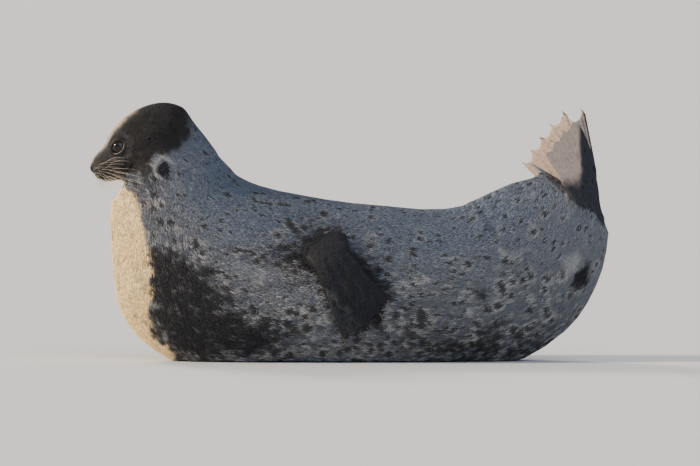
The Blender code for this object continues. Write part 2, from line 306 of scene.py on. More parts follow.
def softenJoins(skin):
    # evens the surface, takes out the facets, and blends the head and limbs into the body
    points = pointsOf(skin.data)
    reach = blendSet["reach"]
    headNear = distanceTo("head", points, reach)
    neckNear = distanceTo("neck", points, reach)
    crease = smoothStep(reach, reach * 0.4, np.maximum(headNear, neckNear))
    trunkNear = np.minimum.reduce([distanceTo(n, points, reach) for n in ("chest", "belly", "hips")])
    trunk = smoothStep(*blendSet["trunkEdge"], np.minimum(trunkNear, neckNear))
    limb = np.zeros(len(points))
    roots = np.zeros(len(points))
    for name in flipperNodes + ["tail"]:
        limbNear = distanceTo(name, points, reach)
        limb = np.maximum(limb, smoothStep(*blendSet["limbEdge"], limbNear))
        atRoot = np.maximum(limbNear, trunkNear)
        roots = np.maximum(roots, smoothStep(reach * 0.65, reach * 0.25, atRoot))
    middle = (points[:, 0] > skinSet["limbTipFrom"]) & (points[:, 0] < 0.3)
    lowFlipper = smoothStep(0.205, 0.180, points[:, 2]) * middle
    roots *= 1.0 - np.maximum(lowFlipper, smoothStep(0.475, 0.50, points[:, 2]))
    behind = inHead(points)[:, 0]
    headTop = smoothStep(*blendSet["headEdge"], headNear)
    headTop *= 0.25 + 0.75 * smoothStep(0.09, 0.15, behind)
    lifted = smoothStep(0.0, 0.012, points[:, 2])
    groups = {
        "even": 1.0 - 0.3 * limb,
        "head": headTop * smoothStep(0.020, 0.034, behind),
        "facets": trunk * (1.0 - limb) * lifted,
        "crease": crease,
        "roots": roots * 0.9 * lifted,
    }
    for name, weights in groups.items():
        paintGroup(skin, name, weights)
        smooth = skin.modifiers.new(name, "SMOOTH")
        smooth.factor = 0.5
        smooth.iterations = blendSet[name]
        smooth.vertex_group = name
    applyAll(skin)
    skin.vertex_groups.clear()


def sinkUnderCoat(skin):
    points, normals = pointsOf(skin.data), normalsOf(skin.data)
    flat = smoothStep(0.012, 0.003, points[:, 2]) * smoothStep(-0.2, -0.8, normals[:, 2])
    thin = smoothStep(0.0, 1.0, limbShare(points))
    depth = skinSet["overlap"] + skinSet["coatDepth"] * (1.0 - skinSet["limbSaving"] * thin)
    points -= normals * (depth * (1.0 - 0.8 * flat))[:, None]
    points[:, 2] = np.maximum(points[:, 2], skinSet["lowest"])
    setPoints(skin.data, points)


def limbShare(points):
    # 1 on the flippers, 0 on the body
    share = np.zeros(len(points))
    for name in flipperNodes:
        share = np.maximum(share, smoothStep(0.006, 0.002, distanceTo(name, points, 0.008)))
    return share


skin = keepLargest(makeSkin())
softenJoins(skin)
sinkUnderCoat(skin)
note("joins softened")


# shaping the skin: folds, digits and the face

def refine(skin, chosen):
    # a finer mesh between the chosen vertices
    with editing(skin):
        bpy.ops.mesh.select_mode(type="VERT")
        bpy.ops.mesh.select_all(action="DESELECT")
        bpy.ops.object.mode_set(mode="OBJECT")
        skin.data.vertices.foreach_set("select", chosen)
        bpy.ops.object.mode_set(mode="EDIT")
        bpy.ops.mesh.subdivide(number_cuts=1, smoothness=0.0)


foldSet = {
    # across the body: middle (x, z), the body's direction there (x, z), depth, width,
    # and side: 1 on top, -1 underneath
    "nape": ((-0.428, 0.500), (-0.42, 0.91), 0.0014, 0.0110, 1.0),
    "scruff": ((-0.400, 0.432), (-0.36, 0.93), 0.0018, 0.0120, 1.0),
    "withers": ((-0.372, 0.368), (-0.42, 0.91), 0.0014, 0.0130, 0.9),
    "underChin": ((-0.478, 0.392), (-0.20, 0.98), 0.0016, 0.0120, -1.0),
    "breast": ((-0.452, 0.300), (-0.22, 0.98), 0.0010, 0.0140, -0.9),
    "loin": ((0.262, 0.170), (1.00, 0.05), 0.0010, 0.0120, 1.0),
    "rump": ((0.318, 0.190), (0.93, 0.35), 0.0017, 0.0125, 1.0),
    "tailHead": ((0.372, 0.215), (0.86, 0.50), 0.0017, 0.0125, 1.0),
    "crupper": ((0.425, 0.250), (0.75, 0.66), 0.0012, 0.0120, 1.0),
}


def addFolds(skin):
    # each fold is a soft crease between two low rolls
    points, normals = pointsOf(skin.data), normalsOf(skin.data)
    calm = 1.0 - np.maximum(limbShare(points), headShare(points))
    moves = np.zeros(len(points))
    for middle, ahead, depth, width, side in foldSet.values():
        ahead = unit(np.array(ahead))
        offset = points[:, [0, 2]] - np.array(middle)
        along = offset @ ahead
        topward = np.array((-ahead[1], ahead[0])) * (1.0 if ahead[0] > 0 else -1.0)
        across = offset @ topward
        wobble = 0.006 * np.sin(points[:, 1] * 34.0 + middle[0] * 40.0)
        gap = along + wobble - 0.05 * across * np.sign(side)
        facing = smoothStep(0.0, 0.75, (normals[:, [0, 2]] @ topward) * side)
        near = smoothStep(0.34, 0.22, np.linalg.norm(offset, axis=1))
        crease = hill(gap, width * 0.55) - 0.55 * hill(np.abs(gap) - width * 1.5, width)
        moves -= depth * crease * facing * near
    setPoints(skin.data, points + normals * (moves * calm)[:, None])


digitSet = {
    "apart": 0.028,           # no two claw tips are closer
    "rise": 0.0034,
    "halfWidth": 0.0056,
    "wristFan": 0.42,         # spread of the digits at the wrist, as a share of the tips' spread
    "wristAt": 0.30,          # share of the way from the root to the tips
    "web": 0.35,              # how low the web lies between the digits, as a share of the rise
}


def clawTips(name):
    # the five claw tips of a packed flipper with their directions, the middle of its root,
    # and the directions along and across it
    points = np.unique(np.round(pointsOf(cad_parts[name].data), 6), axis=0)
    heights = points[:, 2]
    atRoot = heights > heights.max() - 0.03 if "fore" in name else heights < heights.min() + 0.03
    root = points[atRoot].mean(axis=0)
    reach = np.linalg.norm(points - root, axis=1)
    tips = []
    for k in np.argsort(-reach):
        gaps = np.linalg.norm(points - points[k], axis=1)
        if len(tips) < 5 and reach[k] >= reach[gaps < digitSet["apart"]].max():
            base = points[(gaps > 0.006) & (gaps < 0.024)].mean(axis=0)
            tips.append((points[k], unit(points[k] - base)))
    ends = np.array([tip for tip, _ in tips])
    return tips, root, unit(ends.mean(axis=0) - root), unit(ends[-1] - ends[0])


flipperPlan = {name: clawTips(name) for name in flipperNodes}


def distanceToLine(points, start, end):
    run = end - start
    share = np.clip(((points - start) @ run) / (run @ run), 0.0, 1.0)
    return np.linalg.norm(points - (start + share[:, None] * run), axis=1), share


def shapeDigits(skin):
    points, normals = pointsOf(skin.data), normalsOf(skin.data)
    moves = np.zeros(len(points))
    for name, (tips, root, _, _) in flipperPlan.items():
        near = np.nonzero(insideBox(name, points, 0.01))[0]
        onFlipper = smoothStep(0.007, 0.003, distanceTo(name, points[near], 0.01))
        middle = np.mean([tip for tip, _ in tips], axis=0)
        wrist = root + (middle - root) * digitSet["wristAt"]
        raised = np.zeros(len(near))
        for tip, _ in tips:
            knuckle = wrist + (tip - middle) * digitSet["wristFan"]
            gap, share = distanceToLine(points[near], knuckle, tip)
            raised = np.maximum(raised, hill(gap, digitSet["halfWidth"]) * smoothStep(0.0, 0.2, share))
        lift = (raised - digitSet["web"]) * digitSet["rise"]
        moves[near] += lift * onFlipper * smoothStep(0.0, 0.25, raised)
    setPoints(skin.data, points + normals * moves[:, None])


faceSet = {
    "fineTo": 0.112,          # the finer mesh runs this far behind the nose tip
    "finestTo": 0.022,        # and the finest one this far, on the nose pad
    "eyeAxis": (-0.42, 0.87, 0.20),
    "eyeLine": (1.0, 0.0, 0.22),      # from the inner to the outer corner
    "opening": (0.0150, 0.0126),      # half its length and height
    "lidGap": 0.0015,
    "lidReach": 0.020,
    "lidBlend": 0.0125,       # the lids run into the face this far from the rim
    "rimSnap": 0.00042,       # nearer points are moved onto the rim
    "behindBall": 0.0035,     # how deep the skin is pushed inside the opening
    # ridges and grooves: height, distance from the rim or line, width
    "lidRoll": (0.0010, 0.0032, 0.0022),
    "lidGroove": (0.0013, 0.0072, 0.0016),
    "lipRoll": (0.0014, 0.0050, 0.0030),
    "noseStep": (0.0012, 1.12, 0.10),
    "nostrilRim": (0.0008, 0.0034, 0.0013),
    "earRim": (0.0009, 1.7, 0.55),
    # place, reach and rise
    "whiskerPad": ((0.017, 0.022, -0.013), 0.016, 0.0026),
    "browBump": ((0.070, 0.030, 0.048), 0.0055, 0.0016),
    "whiskerRows": (0.00035, 0.0058),     # height and spacing
    "lipDepth": 0.0030,
    "nosePad": (0.0055, 0.0205, 0.0140),  # height of its middle, half its width and height
    "nostrilDepth": 0.0060,
    "earDepth": 0.0050,
    "earPlace": (0.146, 0.080, 0.010),
    "mouth": ((0.0035, -0.0225), (0.010, -0.0275), (0.024, -0.0330), (0.042, -0.0355),
              (0.060, -0.0350), (0.075, -0.0310), (0.086, -0.0255)),
    "nostril": ((0.0032, -0.0040), (0.0122, 0.0100)),
}


def eyeAxes(side):
    # centre, outward axis, corner to corner line and lid direction of one eye, in the head's axes
    centre = np.array(headSet["eyePlace"]) * (1, side, 1)
    outward = unit(np.array(faceSet["eyeAxis"]) * (1, side, 1))
    line = np.array(faceSet["eyeLine"])
    line = unit(line - outward * (line @ outward))
    lid = np.cross(outward, line)
    return centre, outward, line, lid * np.sign(lid[2])


def aroundEye(h, side):
    # distance outwards from the eye's centre, and offsets along the lids and across them
    centre, outward, line, lid = eyeAxes(side)
    offset = h - centre
    return offset @ outward, offset @ line, offset @ lid


def openingRadius(x, y):
    # radius of the almond opening in the direction of each point
    long, high = faceSet["opening"]
    angle = np.arctan2(y, x)
    oval = 1.0 / np.sqrt((np.cos(angle) / long) ** 2 + (np.sin(angle) / high) ** 2)
    corner = 0.13 * np.maximum(0.0, -np.cos(angle)) ** 10 + 0.05 * np.maximum(0.0, np.cos(angle)) ** 10
    return oval * (1.0 + corner)


def shapeLids(h):
    # h: points in the head's axes. Opens the lids round each eyeball.
    radius = headSet["eyeRadius"]
    for side in (-1, 1):
        centre, outward, line, lid = eyeAxes(side)
        height, x, y = aroundEye(h, side)
        ring = np.hypot(x, y)
        near = (height > 0.002) & (ring < 0.036)
        rim = openingRadius(x, y)
        snap = near & (np.abs(ring - rim) < faceSet["rimSnap"])
        inside = near & (ring < rim) & ~snap
        outside = near & ~inside
        ballAtRim = np.sqrt(np.maximum(radius**2 - rim**2, 0.0))
        gap = np.maximum(ring - rim, 0.0)
        toRim = smoothStep(faceSet["lidBlend"], 0.0, gap)
        upper = smoothStep(-0.2, 0.5, y / np.maximum(ring, 1e-6))
        lidHeight = ballAtRim + faceSet["lidGap"]
        folds = ridge(gap, faceSet["lidRoll"]) - ridge(gap, faceSet["lidGroove"]) * (0.35 + 0.65 * upper)
        onLid = height + toRim * (lidHeight - height) + folds * smoothStep(0.0, 0.001, gap)
        behindBall = np.sqrt(np.maximum(radius**2 - ring**2, 0.0)) - faceSet["behindBall"]
        height = np.where(inside, behindBall, np.where(outside, onLid, height))
        scale = np.where(snap, rim / np.maximum(ring, 1e-6), 1.0)
        moved = centre + np.outer(height, outward) + np.outer(x * scale, line) + np.outer(y * scale, lid)
        h[near] = moved[near]


def distanceToTrack(points, track):
    # distance of flat points from a bent line, and how far below it they lie
    best = np.full(len(points), 9.0)
    for start, end in zip(track, track[1:]):
        start, end = np.array(start), np.array(end)
        gap, _ = distanceToLine(points, start, end)
        best = np.minimum(best, gap)
    heights = np.interp(points[:, 0], [p[0] for p in track], [p[1] for p in track])
    return best, heights - points[:, 1]


def mouthGap(h):
    return distanceToTrack(h[:, [0, 2]], faceSet["mouth"])


def nostrilGap(h):
    start, end = (np.array(p) for p in faceSet["nostril"])
    flat = np.stack((np.abs(h[:, 1]), h[:, 2]), axis=1)
    bow = 0.0016 * np.sin(np.clip((flat[:, 1] + 0.004) / 0.014, 0, 1) * math.pi)
    return distanceToLine(flat + np.outer(bow, (-1.0, 0.0)), start, end)[0]


def noseOval(h):
    # 1 on the rim of the nose pad, less inside it
    height, wide, high = faceSet["nosePad"]
    return np.hypot(h[:, 1] / wide, (h[:, 2] - height) / high)


def shapeFace(skin):
    points = pointsOf(skin.data)
    h = inHead(points)
    n = turned(worldToHead, normalsOf(skin.data))
    side = np.abs(h[:, 1])
    front = smoothStep(0.13, 0.11, h[:, 0]) * smoothStep(0.11, 0.10, side)
    front *= smoothStep(-0.075, -0.065, h[:, 2])
    rise = np.zeros(len(h))
    # whisker pads with their rows part at the middle and roll over the lower lip
    place, reach, height = faceSet["whiskerPad"]
    pad = fromPair(h, place)
    rise += height * hill(pad, reach)
    parting = smoothStep(-0.025, -0.020, h[:, 2]) * smoothStep(-0.004, -0.008, h[:, 2])
    rise -= height * smoothStep(0.0030, 0.0006, side) * parting * smoothStep(0.022, 0.012, h[:, 0])
    gap, below = mouthGap(h)
    mouthFade = smoothStep(0.092, 0.080, h[:, 0])
    sideOn = smoothStep(-0.85, -0.55, n[:, 2])
    rise -= faceSet["lipDepth"] * smoothStep(0.0024, 0.0005, gap) * mouthFade * sideOn
    rise += ridge(gap, faceSet["lipRoll"]) * (below < 0) * mouthFade
    rise -= 0.0012 * smoothStep(0.0, 0.003, below) * smoothStep(0.016, 0.006, below) * mouthFade
    rowHeight, spacing = faceSet["whiskerRows"]
    rows = np.sin((h[:, 2] * 0.94 + h[:, 0] * 0.34) * 2 * math.pi / spacing)
    rise += rowHeight * rows * hill(pad, 0.017)
    place, reach, height = faceSet["browBump"]
    rise += height * hill(fromPair(h, place), reach)
    h += n * (rise * front)[:, None]
    # nose pad: a low step all round, then the two slits
    oval = noseOval(h)
    padFront = smoothStep(0.020, 0.012, h[:, 0])
    h[:, 0] += padFront * (ridge(oval, faceSet["noseStep"]) - 0.0006 * smoothStep(1.0, 0.85, oval))
    slit = nostrilGap(h)
    cut = faceSet["nostrilDepth"] * smoothStep(0.0024, 0.0007, slit)
    h[:, 0] += padFront * (cut - ridge(slit, faceSet["nostrilRim"]))
    # ear openings, each with a low rim
    ear = oneSide(h) - np.array(faceSet["earPlace"])
    oval = np.sqrt((ear[:, 0] / 0.0042) ** 2 + (ear[:, 2] / 0.0026) ** 2 + (ear[:, 1] / 0.02) ** 2)
    onSide = (np.abs(h[:, 1]) > 0.05) & (oval < 4)
    pit = (ridge(oval, faceSet["earRim"]) - faceSet["earDepth"] * smoothStep(1.25, 0.35, oval)) * onSide
    h += n * pit[:, None]
    shapeLids(h)
    setPoints(skin.data, carried(headToWorld, h))


def nearEars(points, reach):
    return fromPair(inHead(points), faceSet["earPlace"]) < reach


def thinPlainParts(skin):
    # fewer faces where the surface is plain; the face keeps all of its own
    points = pointsOf(skin.data)
    h = inHead(points)
    face = smoothStep(0.135, 0.115, h[:, 0]) * (headShare(points) > 0.2)
    free = np.clip(1.0 - 0.55 * limbShare(points) - 0.35 * headShare(points), 0.1, 1.0)
    free[(face > 0.02) | nearEars(points, 0.016)] = 0.0
    paintGroup(skin, "plain", free)
    thin = skin.modifiers.new("thin", "DECIMATE")
    thin.ratio = skinSet["keepShare"]
    thin.vertex_group = "plain"
    thin.vertex_group_factor = 1.0
    applyAll(skin)
    skin.vertex_groups.clear()


def shapeSkin(skin):
    addFolds(skin)
    shapeDigits(skin)
    points = pointsOf(skin.data)
    h = inHead(points)
    onFace = (h[:, 0] < faceSet["fineTo"]) & (h[:, 2] > -0.065) & (headShare(points) > 0.2)
    refine(skin, onFace | nearEars(points, 0.012))
    h = inHead(pointsOf(skin.data))
    finest = (h[:, 0] < faceSet["finestTo"]) & (np.abs(h[:, 1]) < 0.030)
    finest &= np.abs(h[:, 2] + 0.003) < 0.027
    for side in (-1, 1):
        out, x, y = aroundEye(h, side)
        finest |= (out > 0.0) & (np.hypot(x, y) < faceSet["lidReach"])
    refine(skin, finest)
    note("face refined")
    shapeFace(skin)
    note(f"face shaped, {len(skin.data.vertices)} points")
    thinPlainParts(skin)
    skin.data.shade_smooth()
    note(f"skin thinned to {sum(len(p.vertices) - 2 for p in skin.data.polygons)} triangles")


shapeSkin(skin)


# markings, painted shade and painted sunlight: values on the points, read by the materials

markSet = {
    # the back edge of the pale throat and chest, also where painted sunlight on the chest front gives
    # way to shade, from the side: height and x
    "paleAndSunlitChestEdge": ((0.00, -0.412), (0.04, -0.434), (0.08, -0.456), (0.13, -0.474), (0.18, -0.468),
                  (0.25, -0.462), (0.30, -0.480), (0.35, -0.482), (0.38, -0.484), (0.41, -0.500),
                  (0.43, -0.560)),
    "chestTop": (0.447, 0.423),       # the pale fades out between these heights
    "evenShade": 0.36,
    "lighterBack": 0.14,
    "sideShift": 0.030,       # the right side's areas lie this far behind the left side's
    # darker areas, partly the coat's markings and partly painted shade, and lighter ones with an amount
    # below zero:
    # x, z, half-length, half-height, turn in degrees, amount
    "marksAndPaintedShade": {
        # dark spots and painted shade on the lower chest; painted shade under the fore belly
        "lowerChestSpotsAndShadow": (-0.375, 0.140, 0.105, 0.125, 0, 0.85),
        "foreBellyShadow": (-0.235, 0.055, 0.130, 0.060, 0, 0.62),
        "breastSide": (-0.440, 0.240, 0.035, 0.070, 0, 0.50),
        "shoulder": (-0.030, 0.225, 0.105, 0.050, -62, 1.30),
        "foreShoulder": (-0.092, 0.230, 0.042, 0.036, 0, 0.75),
        "behindFlipper": (0.058, 0.160, 0.036, 0.062, 0, 0.95),
        "paleBand": (-0.160, 0.205, 0.125, 0.036, -36, -0.75),
        "paleNeck": (-0.340, 0.430, 0.070, 0.080, -45, -0.36),
        "inFrontOfFlipper": (-0.090, 0.050, 0.075, 0.030, 0, -0.20),
        "hip": (0.480, 0.300, 0.090, 0.110, 40, -0.35),
        "hipSide": (0.450, 0.165, 0.065, 0.075, 0, 0.20),
        # painted shade on the jaw and the front of the cheek
        "jawShadow": (-0.485, 0.424, 0.075, 0.026, 0, 0.42),
        "frontCheekShadow": (-0.468, 0.448, 0.026, 0.018, 0, 0.25),
        # painted shade along the low flank
        "lowFlankShadow": (0.300, 0.035, 0.320, 0.085, 0, 0.52),
        "back": (0.100, 0.370, 0.400, 0.050, 0, 0.05),
    },
    # single dark spots on the left side: x, z, radius
    "spots": ((-0.432, 0.4485, 0.0165), (0.526, 0.190, 0.0240), (-0.372, 0.452, 0.0100),
              (0.455, 0.245, 0.0090), (-0.395, 0.395, 0.0085), (0.180, 0.255, 0.0100),
              (0.300, 0.160, 0.0110), (-0.300, 0.330, 0.0100), (0.553, 0.209, 0.0140)),
    # lines along the head in its own axes: distance behind the nose, height above it
    "browLine": ((0.010, 0.000), (0.045, -0.004), (0.080, 0.022), (0.120, 0.050), (0.170, 0.072),
                 (0.215, 0.070)),
    # the cap's lower edge runs low at the mouth corner, where it paints shade
    "capEdge": ((0.000, -0.026), (0.037, -0.033), (0.080, -0.040), (0.098, -0.041), (0.112, -0.034),
                (0.128, -0.024), (0.151, -0.030), (0.170, -0.036), (0.250, -0.036)),
    # half the width of the sandy forehead and bridge of the muzzle, by distance behind the nose
    "warmWidth": ((0.010, 0.009), (0.050, 0.015), (0.100, 0.032), (0.160, 0.032), (0.190, 0.014)),
    "eyeRing": (0.30, 0.032, 0.008),  # of the paler ring: amount, radius and width
    "capEnd": -0.386,         # the cap ends at this x, on the nape
    # painted sunlight makes the hind flippers pale in front of this x; behind it they keep their dark
    # colour as painted shade
    "soleEdge": 0.532,        # the hind flippers are pale in front of this x
    "soleFrom": (0.37, 0.46),         # the pale fades in between these heights
}


def toneAndShadowAmount(points):
    # how dark the coat is, from its markings and from painted shade on the lower chest, belly, flank and
    # jaw; the areas are shifted a little from side to side
    shift = markSet["sideShift"] * smoothStep(-0.06, 0.06, points[:, 1])
    x, z = points[:, 0] - shift, points[:, 2] - 0.4 * shift
    amount = np.full(len(points), markSet["evenShade"])
    for centreX, centreZ, long, high, turn, depth in markSet["marksAndPaintedShade"].values():
        c, s = math.cos(math.radians(turn)), math.sin(math.radians(turn))
        u = (x - centreX) * c + (z - centreZ) * s
        v = (z - centreZ) * c - (x - centreX) * s
        amount += depth * np.exp(-(u / long) ** 2 - (v / high) ** 2)
    amount -= markSet["lighterBack"] * smoothStep(0.30, 0.38, z) * smoothStep(-0.25, -0.1, x)
    return np.clip(amount, 0.0, 1.2)


def paleAndSunlitChestAmount(points):
    # the pale throat and chest, partly the coat's own paleness and partly painted sunlight on the chest
    # front, rounded off under the chin
    edge = np.interp(points[:, 2], *zip(*markSet["paleAndSunlitChestEdge"]))
    ripple = 0.004 * np.sin(points[:, 2] * 95.0) + 0.003 * np.sin(points[:, 2] * 41.0 + 1.0)
    height = points[:, 2] + 6.0 * points[:, 1] ** 2 + 2.0 * ripple
    ahead = smoothStep(0.012, -0.012, points[:, 0] - edge - ripple)
    return ahead * smoothStep(*markSet["chestTop"], height)


def aboveLine(h, line):
    return h[:, 2] - np.interp(h[:, 0], *zip(*markSet[line]))


def warmAmount(points):
    # the sandy forehead and bridge of the muzzle, fading to the sides
    h = inHead(points)
    wide = np.interp(h[:, 0], *zip(*markSet["warmWidth"]))
    wide = wide + 0.003 * np.sin(h[:, 0] * 150.0)
    middle = smoothStep(wide + 0.017, wide - 0.024, np.abs(h[:, 1]))
    above = smoothStep(-0.010, 0.018, aboveLine(h, "browLine"))
    return middle * above * smoothStep(0.205, 0.105, h[:, 0]) * headShare(points)


def darkCapAndShadowAmount(points):
    # the dark cap of the head, from the lips to the nape, a little paler round the eyes; partly the
    # coat's dark head and partly painted shade on the side of the face and the jaw
    h = inHead(points)
    ripple = 0.004 * np.sin(h[:, 0] * 70.0) + 0.003 * np.sin(h[:, 0] * 151.0 + 2.0)
    capAndShadow = smoothStep(-0.018, 0.014, aboveLine(h, "capEdge") + ripple)
    fromEnd = points[:, 0] + 1.5 * ripple - markSet["capEnd"]
    capAndShadow *= smoothStep(0.042, -0.018, fromEnd)
    ring = ridge(fromPair(h, headSet["eyePlace"]), markSet["eyeRing"])
    return capAndShadow * (1.0 - 0.9 * warmAmount(points)) * (1.0 - ring)


def spotAmounts(points):
    # dark spots with a pale ring round each
    dark, ring = np.zeros(len(points)), np.zeros(len(points))
    for x, z, radius in markSet["spots"]:
        stretch = np.hypot(points[:, 0] - x, (points[:, 2] - z) * 0.85)
        onLeft = smoothStep(0.01, -0.02, points[:, 1])
        dark = np.maximum(dark, smoothStep(radius, radius * 0.72, stretch) * onLeft)
        ring = np.maximum(ring, hill(stretch - radius * 1.35, radius * 0.24) * onLeft)
    return dark, ring


def soleAmount(points, normals):
    # painted sunlight over the paler soles of the hind flippers: pale on the far one's inner side, and
    # in front of an outer edge that keeps the dark flipper colour as painted shade
    amount = np.zeros(len(points))
    edge = markSet["soleEdge"] + 0.10 * np.maximum(0.48 - points[:, 2], 0.0)
    ahead = smoothStep(edge + 0.012, edge - 0.012, points[:, 0])
    for name, inner in (("hind_flipper_left", 0.0), ("hind_flipper_right", 1.0)):
        inside = inner * smoothStep(-0.1, -0.5, normals[:, 1] + 0.6 * normals[:, 0])
        pale = insideBox(name, points, 0.004) * np.maximum(inside * 0.9, ahead)
        amount = np.maximum(amount, pale * smoothStep(*markSet["soleFrom"], points[:, 2]))
    return amount * smoothStep(0.4, 0.9, limbShare(points))


def inkAmount(points):
    # bare black skin: nose, lips, eye rims, nostrils and ear openings
    h = inHead(points)
    nose = smoothStep(1.16, 1.02, noseOval(h)) * smoothStep(0.020, 0.014, h[:, 0])
    lips = smoothStep(0.0030, 0.0016, mouthGap(h)[0]) * smoothStep(0.092, 0.082, h[:, 0]) * 0.95
    fromEar = np.linalg.norm((oneSide(h) - np.array(faceSet["earPlace"])) * (0.7, 0.3, 1.0), axis=1)
    ink = np.maximum.reduce((nose, lips, smoothStep(0.0045, 0.0025, fromEar)))
    for side in (-1, 1):
        out, x, y = aroundEye(h, side)
        fromRim = np.hypot(x, y) - openingRadius(x, y)
        ink = np.maximum(ink, smoothStep(0.0032, 0.0020, fromRim) * (out > 0))
    return np.clip(ink, 0.0, 1.0) * headShare(points)


def markSkin(skin):
    points, normals = pointsOf(skin.data), normalsOf(skin.data)
    dark, ring = spotAmounts(points)
    values = {
        "place": points,
        # how dark the coat is, with painted shade
        "toneAndShadow": toneAndShadowAmount(points),
        # the pale chest, with painted sunlight on its front
        "pale": paleAndSunlitChestAmount(points),
        "capAndShadow": darkCapAndShadowAmount(points),
        "warm": warmAmount(points),
        "spot": dark,
        "halo": ring,
        "limb": limbShare(points),
        "sole": soleAmount(points, normals),
        "ink": inkAmount(points),
        # upward faces: the darker back, with a painted blue of sky light
        "upper": smoothStep(0.05, 0.60, normals[:, 2]),
        "strand": np.full(len(points), 0.5),
        # the skin counts as low in the coat, taking some of the painted shade at the lock roots
        "tip": np.full(len(points), 0.25),
    }
    for name, rows in values.items():
        setAttribute(skin.data, name, rows)
    return values


def unwrapSkin(skin):
    skin.data.uv_layers.new(name="OFBake")
    with editing(skin):
        bpy.ops.uv.smart_project(angle_limit=1.15, island_margin=0.004, scale_to_bounds=True)


unwrapSkin(skin)
skinMarks = markSkin(skin)
note("skin unwrapped and marked")


# materials

class Wire:
    # a node's output that sums can be written with; one without an output only adds nodes
    def __init__(self, tree, socket=None):
        self.tree, self.socket = tree, socket

    def add(self, kind, settings=None, sockets=None, out=0):
        node = self.tree.nodes.new(kind)
        for name, value in (settings or {}).items():
            setattr(node, name, value)
        for name, value in (sockets or {}).items():
            if isinstance(value, Wire):
                self.tree.links.new(value.socket, node.inputs[name])
            else:
                node.inputs[name].default_value = value
        return Wire(self.tree, node.outputs[out])

    def maths(self, operation, first, second):
        return self.add("ShaderNodeMath", {"operation": operation}, {0: first, 1: second})

    def __add__(self, other):
        return self.maths("ADD", self, other)

    def __radd__(self, other):
        return self.maths("ADD", other, self)

    def __sub__(self, other):
        return self.maths("SUBTRACT", self, other)

    def __rsub__(self, other):
        return self.maths("SUBTRACT", other, self)

    def __mul__(self, other):
        return self.maths("MULTIPLY", self, other)

    def __rmul__(self, other):
        return self.maths("MULTIPLY", other, self)

    def mark(self, name, out=2):
        # one of the values kept on the points
        return self.add("ShaderNodeAttribute", {"attribute_name": name}, out=out)

    def noise(self, vector, scale, detail, out=0):
        sockets = {"Vector": vector, "Scale": scale, "Detail": detail}
        return self.add("ShaderNodeTexNoise", {}, sockets, out)

    def between(self, low, high):
        # 0 at the low end and 1 at the high end, with a soft start and stop
        return self.add("ShaderNodeMapRange", {"interpolation_type": "SMOOTHSTEP"},
                        {0: self, 1: low, 2: high, 3: 0.0, 4: 1.0})

    def choose(self, first, second):
        # mixes two colours, by this wire
        sockets = {0: self, 6: rgba(first), 7: rgba(second)}
        return self.add("ShaderNodeMix", {"data_type": "RGBA"}, sockets, out=2)

    def scaled(self, amount):
        return self.add("ShaderNodeVectorMath", {"operation": "SCALE"}, {0: self, 3: amount})

    def shifted(self, other):
        return self.add("ShaderNodeVectorMath", {"operation": "ADD"}, {0: self, 1: other})


def rgba(colour):
    return colour if isinstance(colour, Wire) else (*colour, 1.0)


def newMaterial(name, constants):
    material = bpy.data.materials.new(name)
    material.use_nodes = True
    shader = material.node_tree.nodes["Principled BSDF"]
    for socket, value in constants.items():
        shader.inputs[socket].default_value = value
    return material, Wire(material.node_tree), shader


def plug(wire, shader, name):
    wire.tree.links.new(wire.socket, shader.inputs[name])


# coat colours: the greys carry a painted blue of sky light, the cream a painted warmth of low sunlight,
# and the head colours are dark enough to paint shade on the face
coatColours = {
    "light": (0.146, 0.154, 0.174),
    "backWithSkyBlue": (0.108, 0.132, 0.176),
    "middle": (0.057, 0.062, 0.077),
    "dark": (0.014, 0.014, 0.017),
    "ring": (0.360, 0.355, 0.345),
    "sunWarmedCream": (0.880, 0.700, 0.400),
    "creamShade": (0.700, 0.470, 0.220),
    "headDark": (0.013, 0.011, 0.011),
    "headGrey": (0.034, 0.030, 0.029),
    "headWarm": (0.540, 0.390, 0.265),
    "flipper": (0.016, 0.017, 0.022),
    "sole": (0.540, 0.420, 0.345),
    "ink": (0.012, 0.011, 0.012),
}


